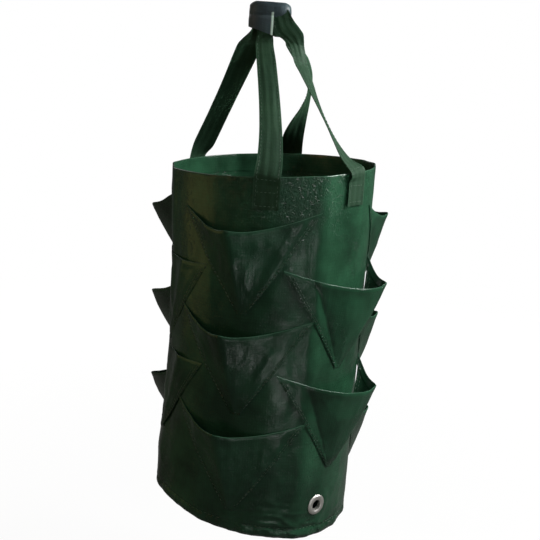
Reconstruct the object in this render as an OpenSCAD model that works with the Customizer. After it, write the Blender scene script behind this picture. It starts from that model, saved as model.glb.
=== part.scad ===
// Hanging grow bag: a round bag of glossy woven tarpaulin with staggered planting
// pockets in its side. Two handles run up from the rim, and a strip wound round
// their gathered tops makes the crown that it hangs from. The origin is the saddle
// under the crown, where a hook takes the load. +Z is up and -Y is the front.
// Directions round the bag are angles from the front, positive to the right.

/* [Bag] */
// Radius of the bag outside its wall
bag_r = 100; // [92:1:120]
// Height of the wall from the base seam to the rim
wall_h = 350; // [345:1:400]
// Thickness that one layer of cloth is drawn at
cloth_t = 0.8; // [0.6:0.1:1]
// Depth of the hem turned in at the rim
hem_depth = 18; // [12:1:22]
// Height of the base panel's edge, turned up and sewn to the wall
turnup_h = 10; // [6:1:14]
// How far the base panel sags below its seam
base_sag = 11; // [5:1:16]
// Width of the strip that backs the side seam
seam_w = 12; // [8:1:16]

/* [Pockets] */
// Angle that a pocket spans at its mouth
pocket_span = 78; // [66:1:79]
// How far the top mouths sit below the rim
mouth_drop = 33; // [30:1:38]
// Height of the lowest pockets' points above the base seam
point_z = 25; // [22:1:30]
// Room between a pocket's point and the next mouth below it
pocket_room = 5; // [4:1:12]
// How far the in-between columns sit below their neighbours
stagger = 52; // [48:1:53]
// Direction of the front column
front_az = -12; // [-18:1:-6]
// How far the tip of a full beak stands off the wall
beak_reach = 23; // [16:1:28]
// How far the tip of a full beak sits below its mouth
beak_drop = 21; // [10:1:26]
// Width of the root window behind a pocket
window_w = 44; // [34:1:48]
// Height of the root window
window_h = 42; // [30:1:44]
// How far the root window stops below the mouth
window_drop = 30; // [28:1:34]

/* [Handles] */
// Width of a handle's strap
strap_w = 24; // [20:1:28]
// Thickness of a handle's strap
strap_t = 1.2; // [0.9:0.1:1.5]
// Length of the lap sewn to the outside of the wall
lap_h = 28; // [20:1:29]
// Height of the saddle above the rim
handle_rise = 121; // [110:1:150]
// How far the bag's axis stands to the right of the saddle
bag_off = 6; // [0:1:10]

/* [Crown] */
// Width of the wound strip from side to side
wrap_w = 40; // [36:1:46]
// Depth of the wound strip from front to back
wrap_d = 25; // [22:1:30]
// Height of the crown above the saddle
wrap_h = 31; // [29:1:36]
// Thickness of the wound strip
wrap_t = 1; // [0.8:0.1:1.2]

/* [Eyelets] */
// Radius of an eyelet's hole
eyelet_bore_r = 5.2; // [4.5:0.1:5.6]
// Width of an eyelet's flange from its hole to its edge
eyelet_flange = 5.1; // [4:0.1:6]
// Height of the eyelets' centres above the base seam
eyelet_z = 27; // [24:1:34]
// Direction of the first eyelet
eyelet_az = 40; // [34:1:46]
// Turn from the first eyelet to the second
eyelet_turn = 162; // [156:1:166]

/* [Hidden] */

// Smoothness of everything round
round_fn = 96;
// Gap between a sewn pocket and the wall it lies on
sew_gap = 0.5;
// Gap between pieces that are sewn face to face on one body
face_gap = 0.05;
// Gap between a leg's end and the handle top it runs on into
leg_gap = 0.3;
// Height of the saddle over the base seam
hang_h = wall_h + handle_rise;

// Each column: turn of its beak's fold from the column's centre, and the shares of
// the full reach and drop that it has. The left front column lies nearest the wall.
columns = [[-8, 0.75, 0.8], [24, 1, 1], [-7, 0.8, 0.85], [12, 0.8, 0.8],
    [24, 1, 0.8], [20, 0.4, 0.35]];
column_pitch = 360 / len(columns);
// Three tiers share the height of the wall evenly, and a pocket's V takes its tier
tier_drop = (wall_h - mouth_drop - point_z + pocket_room) / 3;
pocket_h = tier_drop - pocket_room;

// Each handle leg: direction of its lap, sideways bow of its run, the most that its
// width turns and the turn at its top, the left and right ends of its top, and how
// far up it bows and turns the most.
left_leg_run = [-126.6, 0.8, 23, 6, -37, -14, 0.5, 0.3];
front_leg_run = [-3, 3.7, 40, 0, -19.5, -2, 0.38, 0.3];
right_leg_run = [50, -6.3, 85, 30, 10, 26.5, 0.3, 0.39];
back_leg_run = [170, 17.6, 78, 30, 9, 24, 0.69, 0.62];
// How far the straps stand in front of and behind the saddle in the crown
strap_y = 2.6;
// How far the handle tops reach below the saddle
top_reach = 9;

// Outlines of the handle tops under the wound strip, across and up from the saddle
left_top = [[-22.5, 12], [-9, 12], [-12, 0], [-14, -top_reach], [-37, -top_reach], [-33, -4],
    [-25.5, 4], [-22.5, 6]];
front_top = [[-19, 12], [-4, 12], [-3.7, 0], [-2, -top_reach], [-19.5, -top_reach]];
right_top = [[-1, 12], [6.6, 12], [6.8, 5], [12.3, 14.1], [18, 9], [23, 1], [26.5, -top_reach],
    [10, -top_reach], [4.5, 0.5]];
back_top = [[-1, 12], [6.2, 12], [6.4, 4.4], [11.8, 13.3], [16, 9], [21, 1], [24, -top_reach],
    [9, -top_reach], [4.5, 0.5]];

// Points across and up a pocket's sheet, before and after its fold, and up a leg
across_long = 8;
across_short = 4;
pocket_rows = 5;
leg_rows = 18;

function mouth_z(column, tier) =
    wall_h - mouth_drop - tier * tier_drop - (column % 2) * stagger;
function apex_z(column, tier) = mouth_z(column, tier) - pocket_h;
function column_az(column) = front_az + column * column_pitch;
function around(az, r, z) = [r * sin(az), -r * cos(az), z];

// Radius at a direction on the straight line between two points in plan
function line_r(az, r1, az1, r2, az2) =
    r1 * r2 * sin(az2 - az1) / (r1 * sin(az - az1) + r2 * sin(az2 - az));

// Radius of a lip: flush with the wall, then straight out to the fold and back.
// The straight part leaves the wall at a tangent, or at the pocket's corner.
function lip_r(az, half, fold, base, reach) =
    let (tangent = acos(base / (base + reach)),
         near = az < fold ? max(-half, fold - tangent) : min(half, fold + tangent))
    (az - near) * (fold - near) <= 0 ? base : line_r(az, base, near, base + reach, fold);

// How far along its fall from the corners to the fold a lip is
function lip_fall(az, half, fold) =
    sin(90 * (az < fold ? (az + half) / (fold + half) : (half - az) / (half - fold)));

// One point of a pocket's sheet, across from -half to half and up from 0 to 1
function pocket_point(column, tier, az, up, out) =
    let (half = pocket_span / 2,
         shape = columns[column],
         base = bag_r + sew_gap,
         reach = beak_reach * shape[1],
         flare = lip_r(az, half, shape[0], base, reach) - base,
         spread = 0.06 + 0.94 * up,
         fall = beak_drop * shape[2] * lip_fall(az, half, shape[0]))
    around(column_az(column) + az * spread, base + flare * up + out,
        apex_z(column, tier) + up * (pocket_h - fall));

// Directions of a pocket's points, with one on the fold and more on its longer side
function pocket_steps(fold, half) =
    let (left = fold > 0 ? across_long : across_short,
         right = fold > 0 ? across_short : across_long)
    concat([for (i = [0:left]) -half + (fold + half) * i / left],
        [for (i = [1:right]) fold + (half - fold) * i / right]);

// A vector of length 1, and a value part of the way from one to another
function unit(v) = v / norm(v);
function mix(a, b, share) = a + (b - a) * share;

// A leg's middle line, the turn and direction of its width, and its points
function leg_middle(run, up) =
    let (lap = around(run[0], bag_r + face_gap + strap_t / 2, 0),
         top = [(run[4] + run[5]) / 2 - bag_off, abs(run[0]) < 90 ? -strap_y : strap_y, 0],
         share = max(0, up),
         rise = handle_rise - top_reach - leg_gap)
    [mix(lap[0], top[0], share) + run[1] * sin(180 * pow(share, ln(0.5) / ln(run[6]))),
        mix(lap[1], top[1], share),
        wall_h + (up < 0 ? up * lap_h : 1.5 + (rise - 1.5) * up)];
function leg_turn(run, up) =
    let (start = abs(run[0]) < 90 ? run[0] : run[0] - 180 * sign(run[0]),
         share = pow(max(0, up), ln(0.5) / ln(run[7])))
    share < 0.5 ? mix(start, run[2], sin(180 * share)) : mix(run[2], run[3], 1 - sin(180 * share));
function leg_along(run, up) = up <= 0 || up >= 1 ? [0, 0, 1]
    : unit(leg_middle(run, up + 0.02) - leg_middle(run, up - 0.02));
function leg_side(run, up) =
    let (turn = leg_turn(run, up), flat = [cos(turn), sin(turn), 0], along = leg_along(run, up))
    unit(flat - (flat * along) * along);
function leg_w(run, up) = mix(strap_w, run[5] - run[4], pow(max(0, up), 2));
function leg_point(run, up, side, face) =
    leg_middle(run, up) + leg_side(run, up) * side * leg_w(run, up) / 2
        + cross(leg_along(run, up), leg_side(run, up)) * face * strap_t / 2;

// A closed sheet between two grids of points that face each other. Its squares are
// cut across the other way from the turn on, so that a V's cuts run up along its sides.
function grid_faces(n, m, first, flip, turn) = [for (j = [0:m - 2]) for (i = [0:n - 2])
    let (a = first + j * n + i, b = a + 1, c = b + n, d = a + n)
    for (face = i < turn ? [[a, b, c], [a, c, d]] : [[a, b, d], [b, c, d]])
        flip ? [face[2], face[1], face[0]] : face];
function edge_faces(loop, count) = [for (k = [0:len(loop) - 1])
    let (a = loop[k], b = loop[(k + 1) % len(loop)])
    for (face = [[a, b + count, a + count], [a, b, b + count]]) face];
module sheet(front, back, n, m, turn) {
    count = n * m;
    loop = concat([for (i = [0:n - 1]) i], [for (j = [1:m - 1]) j * n + n - 1],
        [for (i = [n - 2:-1:0]) (m - 1) * n + i], [for (j = [m - 2:-1:1]) j * n]);
    polyhedron(concat(front, back),
        concat(grid_faces(n, m, 0, true, turn), grid_faces(n, m, count, false, turn),
            edge_faces(loop, count)), convexity = 6);
}

// Places what is built over the base seam's centre under the saddle
module on_bag() {
    translate([bag_off, 0, -hang_h]) children();
}

// Places what is drawn flat, facing out, on the wall
module on_wall(az, z) {
    rotate([0, 0, az]) translate([0, -bag_r, z]) rotate([90, 0, 0]) children();
}

// One pocket: a sheet sewn down both sides of a V, its mouth folded to a beak
module pocket(column, tier) {
    steps = pocket_steps(columns[column][0], pocket_span / 2);
    ups = [for (j = [0:pocket_rows]) j / pocket_rows];
    color("darkgreen") on_bag() sheet(
        [for (up = ups) for (az = steps) pocket_point(column, tier, az, up, cloth_t)],
        [for (up = ups) for (az = steps) pocket_point(column, tier, az, up, 0)],
        len(steps), len(ups), len([for (az = steps) if (az < 0) az]));
}

// The windows behind the pockets, through which roots reach the soil
module root_windows() {
    foot = 12;
    shoulder = 8;
    cut = 12;
    for (column = [0:len(columns) - 1]) for (tier = [0:2 - column % 2])
        on_wall(column_az(column), mouth_z(column, tier) - window_drop - window_h)
            translate([0, 0, -cut / 2 - 1]) linear_extrude(cut) polygon([
                [-foot / 2, 0], [foot / 2, 0], [window_w / 2, window_h - shoulder],
                [window_w / 2 - shoulder / 2, window_h],
                [shoulder / 2 - window_w / 2, window_h],
                [-window_w / 2, window_h - shoulder]]);
}

// The directions of the two eyelets
eyelet_dirs = [eyelet_az, eyelet_az + eyelet_turn];
// Wall of an eyelet's barrel, and the play of the barrel in the cloth
barrel_t = 0.8;
barrel_play = 0.3;

// Width of the panel of wall that carries an eyelet, and its height over the eyelet
panel_w = 60;
panel_rise = 22;
panel_h = eyelet_z + panel_rise;

// The wall's cloth as a plain tube, and the room that an eyelet's panel takes in it
module wall_tube() {
    rotate_extrude($fn = round_fn)
        translate([bag_r - cloth_t, 0]) square([cloth_t, wall_h - 2 * cloth_t]);
}
module panel_room(az, inset) {
    deep = 20;
    on_wall(az, -1) translate([inset - panel_w / 2, 0, -deep])
        cube([panel_w - 2 * inset, panel_h + 1 - inset, 2 * deep]);
}

// The side of the bag, a tube open at both ends
module bag_wall() {
    color("green") on_bag() difference() {
        wall_tube();
        root_windows();
        for (az = eyelet_dirs) panel_room(az, 0);
    }
}

// The panels of wall that carry the eyelets
module eyelet_panels() {
    color("green") on_bag() for (az = eyelet_dirs) difference() {
        intersection() {
            wall_tube();
            panel_room(az, face_gap);
        }
        on_wall(az, eyelet_z)
            cylinder(r = eyelet_bore_r + barrel_t + barrel_play, h = 20, center = true,
                $fn = round_fn);
    }
}

// The hem: the cloth rolls over the wall's edge and lies flat inside it
module rim_hem() {
    inner = bag_r - 2 * cloth_t - face_gap;
    roll = (bag_r - inner) / 2;
    color("forestgreen") on_bag() rotate_extrude($fn = round_fn) union() {
        translate([inner, wall_h - hem_depth]) square([cloth_t, hem_depth - roll]);
        translate([inner + roll, wall_h - roll]) intersection() {
            circle(roll, $fn = 32);
            translate([-roll, face_gap]) square([2 * roll, roll]);
        }
        translate([inner, wall_h - 2 * cloth_t + face_gap])
            square([2 * roll, 2 * cloth_t - roll]);
    }
}

// The strip that backs the side seam, from the turned-up base edge to the hem
module side_seam() {
    seam_az = -92;
    outer = bag_r - cloth_t - face_gap;
    turn = seam_w / outer * 180 / PI;
    foot = turnup_h + 1;
    color("darkolivegreen") on_bag() rotate([0, 0, seam_az - 90 - turn / 2])
        rotate_extrude(angle = turn, $fn = round_fn)
            translate([outer - cloth_t, foot])
                square([cloth_t, wall_h - hem_depth - 1 - foot]);
}

// The base: a round panel that sags, with its edge turned up inside the wall
module base_panel() {
    edge = bag_r - cloth_t - face_gap;
    sag_r = (edge * edge + base_sag * base_sag) / (2 * base_sag);
    steps = 10;
    under = [for (i = [0:steps]) let (x = edge * i / steps)
        [x, sag_r - base_sag - sqrt(sag_r * sag_r - x * x)]];
    over = [for (i = [steps:-1:0]) let (x = (edge - cloth_t) * i / steps)
        [x, sag_r - base_sag - sqrt(sag_r * sag_r - x * x) + cloth_t]];
    color("green") on_bag() rotate_extrude($fn = round_fn)
        polygon(concat(under, [[edge, turnup_h], [edge - cloth_t, turnup_h]], over));
}

// The metal eyelets near the base, each with a domed flange and a rolled end
module eyelets() {
    dome = 1.3;
    half = eyelet_flange / 2;
    dome_r = (half * half + dome * dome) / (2 * dome);
    color("silver") on_bag() for (az = eyelet_dirs) on_wall(az, eyelet_z)
        rotate_extrude($fn = round_fn) union() {
            translate([eyelet_bore_r, -roll_depth()])
                square([barrel_t, roll_depth() + face_gap + dome / 2]);
            translate([eyelet_bore_r, -roll_depth()]) square([2.2, barrel_t]);
            intersection() {
                translate([eyelet_bore_r + half, face_gap + dome - dome_r])
                    circle(dome_r, $fn = 64);
                translate([eyelet_bore_r, face_gap]) square([eyelet_flange, dome]);
            }
        }
}

// Radius of the inner washers, and how far in they and the rolled ends lie
function washer_r() = eyelet_bore_r + eyelet_flange - 0.5;
function washer_depth() = let (inner = bag_r - cloth_t)
    bag_r - sqrt(inner * inner - washer_r() * washer_r()) + face_gap;
function roll_depth() = washer_depth() + 0.7 + face_gap + barrel_t;

// The flat washers that the eyelets are rolled over, inside the wall
module eyelet_washers() {
    color("gainsboro") on_bag() for (az = eyelet_dirs) on_wall(az, eyelet_z)
        translate([0, 0, -washer_depth() - 0.7]) difference() {
            cylinder(r = washer_r(), h = 0.7, $fn = round_fn);
            translate([0, 0, -1])
                cylinder(r = eyelet_bore_r + barrel_t + face_gap, h = 3, $fn = round_fn);
        }
}

// One leg of a handle, from its lap on the wall to the crown
module leg(run) {
    ups = concat([-1, -0.5], [for (j = [0:leg_rows]) j / leg_rows]);
    sides = [-1, -0.5, 0, 0.5, 1];
    color("seagreen") on_bag() sheet(
        [for (up = ups) for (side = sides) leg_point(run, up, side, -1)],
        [for (up = ups) for (side = sides) leg_point(run, up, side, 1)],
        len(sides), len(ups), len(sides));
}

// Middle of the crown across, and the rounding of its top corners
wrap_x = -7.5;
wrap_round = 6;
// Room between the turns of the strip, and the turns that it makes
turn_gap = 0.5;
turns = 2.02;

// How far the strip stops above the saddle
strip_lift = 0.8;

// A point of the strip's winding: an oval that grows by one turn's room each turn
function oval(angle, w, d) = let (c = cos(angle), s = sin(angle))
    [sign(c) * w * pow(abs(c), 0.75), sign(s) * d * pow(abs(s), 0.75)];
function wrap_point(turn, inset) =
    let (grow = (turns - turn) * (wrap_t + turn_gap) + inset)
    oval(turn * 360 + 268, wrap_w / 2 - grow, wrap_d / 2 - grow);
wrap_steps = [for (i = [0:turns * 48]) i / 48];

// The crown seen from the front: flat top, round corners, foot cut to the straps
module crown_outline(inset, foot) {
    low = wrap_x - wrap_w / 2 + inset;
    high = wrap_x + wrap_w / 2 - inset;
    top = wrap_h - inset;
    difference() {
        union() {
            translate([low, -2]) square([high - low, top + 2 - wrap_round]);
            translate([low + wrap_round, 0])
                square([high - low - 2 * wrap_round, top]);
            for (x = [low + wrap_round, high - wrap_round])
                translate([x, top - wrap_round]) circle(wrap_round, $fn = 64);
        }
        polygon([[low - 5, 9 + foot], [-1.5, foot], [3.5, foot], [high + 3, 20 + foot],
            [high + 3, -9], [low - 5, -9]]);
    }
}

// The strip wound round the gathered handle tops, one unbroken winding
module wrap_strip() {
    color("darkslategray") intersection() {
        translate([wrap_x, 0, -3]) linear_extrude(wrap_h + 6)
            polygon(concat([for (t = wrap_steps) wrap_point(t, 0)],
                [for (i = [len(wrap_steps) - 1:-1:0]) wrap_point(wrap_steps[i], wrap_t)]));
        rotate([90, 0, 0]) linear_extrude(2 * wrap_d, center = true) crown_outline(0, strip_lift);
    }
}

// The least gap between one turn of the strip and the next
wrap_gap = min([for (t = wrap_steps) if (t <= turns - 1)
    norm(wrap_point(t + 1, wrap_t) - wrap_point(t, 0))]);
echo(least_gap_between_turns = wrap_gap);

// The tops of both handles, gathered inside the strip, with the straps below it
module handle_tops() {
    fill = turns * (wrap_t + turn_gap) + wrap_t + leg_gap;
    color("seagreen") {
        intersection() {
            translate([wrap_x, 0, -3]) linear_extrude(wrap_h + 6)
                polygon([for (a = [0:10:350]) oval(a, wrap_w / 2 - fill, wrap_d / 2 - fill)]);
            rotate([90, 0, 0]) linear_extrude(2 * wrap_d, center = true)
                crown_outline(1, 0);
        }
        translate([0, strap_t / 2 - strap_y, 0]) rotate([90, 0, 0]) linear_extrude(strap_t) {
            polygon(front_top);
            polygon(right_top);
        }
        translate([0, strap_t / 2 + strap_y, 0]) rotate([90, 0, 0]) linear_extrude(strap_t) {
            polygon(left_top);
            polygon(back_top);
        }
    }
}

wrap_strip();
handle_tops();
leg(left_leg_run);  // left_leg
leg(front_leg_run);  // front_leg
leg(right_leg_run);  // right_leg
leg(back_leg_run);  // back_leg
bag_wall();
eyelet_panels();
rim_hem();
side_seam();
base_panel();
eyelets();
eyelet_washers();
pocket(0, 0);  // front_pocket_top
pocket(0, 1);  // front_pocket_middle
pocket(0, 2);  // front_pocket_low
pocket(1, 0);  // right_front_pocket_upper
pocket(1, 1);  // right_front_pocket_lower
pocket(2, 0);  // right_back_pocket_top
pocket(2, 1);  // right_back_pocket_middle
pocket(2, 2);  // right_back_pocket_low
pocket(3, 0);  // back_pocket_upper
pocket(3, 1);  // back_pocket_lower
pocket(4, 0);  // left_back_pocket_top
pocket(4, 1);  // left_back_pocket_middle
pocket(4, 2);  // left_back_pocket_low
pocket(5, 0);  // left_front_pocket_upper
pocket(5, 1);  // left_front_pocket_lower
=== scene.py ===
# %% [markdown]
# # A hanging grow bag
# The bag is a tube of laminated woven polyethylene, the cloth that tarpaulins are made
# of, with fifteen pockets sewn to its side. Two straps run up from its rim, and a strip
# wound round their gathered tops makes the crown that it hangs from. The measured model
# is loaded first and never moved, because every soft piece is built round it.

import math
from collections import namedtuple

import bmesh
import bpy
from mathutils import Matrix, Vector, noise


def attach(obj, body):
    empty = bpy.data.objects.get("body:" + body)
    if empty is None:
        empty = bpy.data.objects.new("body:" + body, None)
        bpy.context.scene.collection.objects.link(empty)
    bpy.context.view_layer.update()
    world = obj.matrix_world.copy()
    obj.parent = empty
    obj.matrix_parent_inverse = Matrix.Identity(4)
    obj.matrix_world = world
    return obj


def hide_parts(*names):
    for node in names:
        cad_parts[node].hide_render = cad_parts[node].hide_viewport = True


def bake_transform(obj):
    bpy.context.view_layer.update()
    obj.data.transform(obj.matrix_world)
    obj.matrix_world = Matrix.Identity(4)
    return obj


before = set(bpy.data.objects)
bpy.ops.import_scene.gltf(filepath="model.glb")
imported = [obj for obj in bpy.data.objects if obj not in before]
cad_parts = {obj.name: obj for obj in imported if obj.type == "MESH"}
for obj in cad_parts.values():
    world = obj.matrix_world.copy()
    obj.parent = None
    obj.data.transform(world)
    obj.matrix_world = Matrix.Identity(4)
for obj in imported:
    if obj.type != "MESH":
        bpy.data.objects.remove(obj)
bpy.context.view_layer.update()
MM = 0.001

# %% [markdown]
# The camera stands nine tenths of a metre in front of the bag, a little above its rim
# and looking down, and it is tipped by four degrees. The photograph was taken so.

# %% Camera
PHOTO_PX = 540
FOCAL_PX = 896
SENSOR = 36
pitch = math.radians(13.5)
tip = math.radians(4)
ahead = Vector((0, math.cos(pitch), -math.sin(pitch)))
level_up = Vector((0, math.sin(pitch), math.cos(pitch)))
right = math.cos(tip) * Vector((1, 0, 0)) + math.sin(tip) * level_up
up = right.cross(ahead)
camera_data = bpy.data.cameras.new("camera")
camera_data.sensor_width = SENSOR
camera_data.lens = FOCAL_PX / PHOTO_PX * SENSOR
camera_data.shift_x = 3.1 / PHOTO_PX
camera = bpy.data.objects.new("camera", camera_data)
bpy.context.scene.collection.objects.link(camera)
camera.matrix_world = Matrix.Translation((0.006, -0.882, -0.017)) @ Matrix(
    (right, up, -ahead)).transposed().to_4x4()
bpy.context.scene.camera = camera
print("lens", round(camera_data.lens, 1), "mm")

# %% [markdown]
# A colour is written as the hex value that a colour picker shows, and one function turns
# it into the linear values that the shaders reckon with. One more adds a node with its
# settings and its links, so that a material reads as a list of what it is made from.

# %% Colour and node helpers
def linear(hex_colour):
    """The linear colour of an sRGB hex value."""
    parts = [int(hex_colour[i:i + 2], 16) / 255 for i in (1, 3, 5)]
    return [p / 12.92 if p <= 0.04045 else ((p + 0.055) / 1.055) ** 2.4 for p in parts] + [1]


def add(tree, kind, inputs=(), **settings):
    """Adds a node. inputs gives each socket a value or another node's output."""
    node = tree.nodes.new(kind)
    for name, value in settings.items():
        setattr(node, name, value)
    for socket, value in dict(inputs).items():
        if isinstance(value, bpy.types.NodeSocket):
            tree.links.new(value, node.inputs[socket])
        else:
            node.inputs[socket].default_value = value
    return node


def new_material(name):
    """A material and its node tree, empty."""
    material = bpy.data.materials.new(name)
    material.use_nodes = True
    material.node_tree.nodes.clear()
    return material, material.node_tree


print("mid grey is", round(linear("#808080")[0], 3), "in linear light")

# %% [markdown]
# The light is that of a plain studio. A soft lamp at the right leaves the left side of
# the bag dark, and weaker ones fill in from the front, the left and behind. A wide yellow
# one is mirrored in the left side, two small ones low at the front make the highlights,
# and a narrow one lights the undersides of the handles. The floor and the world look white
# to the camera and show faintly in reflections, which costs no light on the bag, and the
# floor keeps a trace of the bag's shadow.

# %% Light, world and floor
def soft_lamp(name, place, target, size, watts):
    """A rectangular lamp of that size, turned from its place to its target."""
    data = bpy.data.lights.new(name, "AREA")
    data.shape = "RECTANGLE"
    data.size, data.size_y = size
    data.energy = watts
    lamp = bpy.data.objects.new(name, data)
    bpy.context.scene.collection.objects.link(lamp)
    lamp.location = place
    lamp.rotation_euler = (Vector(target) - Vector(place)).to_track_quat("-Z", "Y").to_euler()
    return lamp


soft_lamp("key", (0.66, -0.04, 0.24), (0, 0, -0.22), (0.3, 0.35), 13.8)
soft_lamp("front", (0.1, -1.15, 0.55), (0, 0, -0.25), (0.8, 0.8), 2.3)
soft_lamp("gloss", (0.6, -1.1, -0.36), (0, 0, -0.2), (0.05, 0.07), 0.42)
soft_lamp("low", (0.3, -0.72, -0.56), (0.02, 0, -0.46), (0.2, 0.03), 0.2)
warm = soft_lamp("warm", (-1.15, -0.6, 0.3), (0, 0, -0.2), (0.5, 0.5), 2.5)
warm.data.color = linear("#ffb880")[:3]
board = soft_lamp("board", (-1.2, -0.2, -0.32), (0, 0, -0.3), (1.3, 0.5), 1.1)
board.data.color = linear("#fff090")[:3]
handles = soft_lamp("handles", (0.45, -0.75, -0.3), (-0.01, 0.02, -0.03), (0.15, 0.15), 0.03)
handles.data.spread = math.radians(14)
handles.visible_glossy = False
soft_lamp("back", (-0.9, 0.9, 0.5), (0, 0, -0.2), (0.8, 0.8), 2.5)

MIRRORED = 0.04
FLOOR_Z = -0.62


def seen_white(tree):
    """One for the rays that meet plain white, and MIRRORED for those off shiny surfaces."""
    path = add(tree, "ShaderNodeLightPath")
    mirrored = add(tree, "ShaderNodeMath", {0: path.outputs["Is Glossy Ray"], 1: MIRRORED},
                   operation="MULTIPLY")
    seen = add(tree, "ShaderNodeMath", {0: path.outputs["Is Camera Ray"],
                                        1: mirrored.outputs[0]}, operation="MAXIMUM")
    return add(tree, "ShaderNodeMath", {0: seen.outputs[0],
                                        1: path.outputs["Is Transmission Ray"]},
               operation="MAXIMUM")


world = bpy.data.worlds.new("studio")
bpy.context.scene.world = world
world.use_nodes = True
tree = world.node_tree
tree.nodes.clear()
seen = seen_white(tree)
place = add(tree, "ShaderNodeTexCoord")
height = add(tree, "ShaderNodeSeparateXYZ", {0: place.outputs["Generated"]})
level = add(tree, "ShaderNodeMapRange", {"Value": height.outputs["Z"], "From Min": -0.2,
                                         "From Max": 0.6, "To Min": 0.03, "To Max": 0.09})
lit = add(tree, "ShaderNodeBackground", {"Color": linear("#e8ecf0"),
                                         "Strength": level.outputs[0]})
white = add(tree, "ShaderNodeBackground", {"Color": (1, 1, 1, 1), "Strength": 1})
both = add(tree, "ShaderNodeMixShader", {0: seen.outputs[0], 1: lit.outputs[0],
                                         2: white.outputs[0]})
add(tree, "ShaderNodeOutputWorld", {"Surface": both.outputs[0]})

floor_mesh = bpy.data.meshes.new("floor")
bm = bmesh.new()
bmesh.ops.create_grid(bm, x_segments=1, y_segments=1, size=6)
bmesh.ops.translate(bm, vec=(0, 0, FLOOR_Z), verts=bm.verts)
bm.to_mesh(floor_mesh)
bm.free()
floor = bpy.data.objects.new("floor", floor_mesh)
bpy.context.scene.collection.objects.link(floor)
material, tree = new_material("painted_studio_floor")
seen = seen_white(tree)
place = add(tree, "ShaderNodeTexCoord")
away = add(tree, "ShaderNodeVectorMath", {0: place.outputs["Object"]}, operation="LENGTH")
away_m = {"Value": away.outputs["Value"], "From Min": 0.7, "From Max": 1.6}
veil = add(tree, "ShaderNodeMapRange", {**away_m, "To Min": 0.75, "To Max": 1})
share = add(tree, "ShaderNodeMath", {0: seen.outputs[0], 1: veil.outputs[0]},
            operation="MULTIPLY")
paint = add(tree, "ShaderNodeBsdfDiffuse", {"Color": linear("#5e5e5c")})
glow = add(tree, "ShaderNodeMapRange", {**away_m, "To Min": 1.28, "To Max": 1})
white = add(tree, "ShaderNodeEmission", {"Color": (1, 1, 1, 1), "Strength": glow.outputs[0]})
both = add(tree, "ShaderNodeMixShader", {0: share.outputs[0], 1: paint.outputs[0],
                                         2: white.outputs[0]})
add(tree, "ShaderNodeOutputMaterial", {"Surface": both.outputs[0]})
floor_mesh.materials.append(material)
bpy.context.scene.view_settings.view_transform = "Standard"
print("floor", round(floor_mesh.vertices[0].co.z, 2), "m under the saddle")

# %% [markdown]
# The cloth is woven from flat polyethylene tapes about two millimetres wide and coated
# with a clear film. To the eye it is a dark bottle green that shifts a little from place
# to place, with the weave and the crumples catching the light as glints under the gloss
# of the film. Each piece carries a map in metres along its own warp and weft, so the
# weave follows the cloth. An attribute marks edges that are painted paler: along the
# rolled rim, the pockets' lips and the straps' folded edges this is a painted highlight,
# and at the end of the crown's strip it is the pale cut face.

# %% Laminated woven polyethylene
TAPE = 2.4 * MM
# A wave texture has twenty waves to 2 pi of its scaled input, so this gives one to a tape.
WEAVE_SCALE = 2 * math.pi / 20 / TAPE


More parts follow.
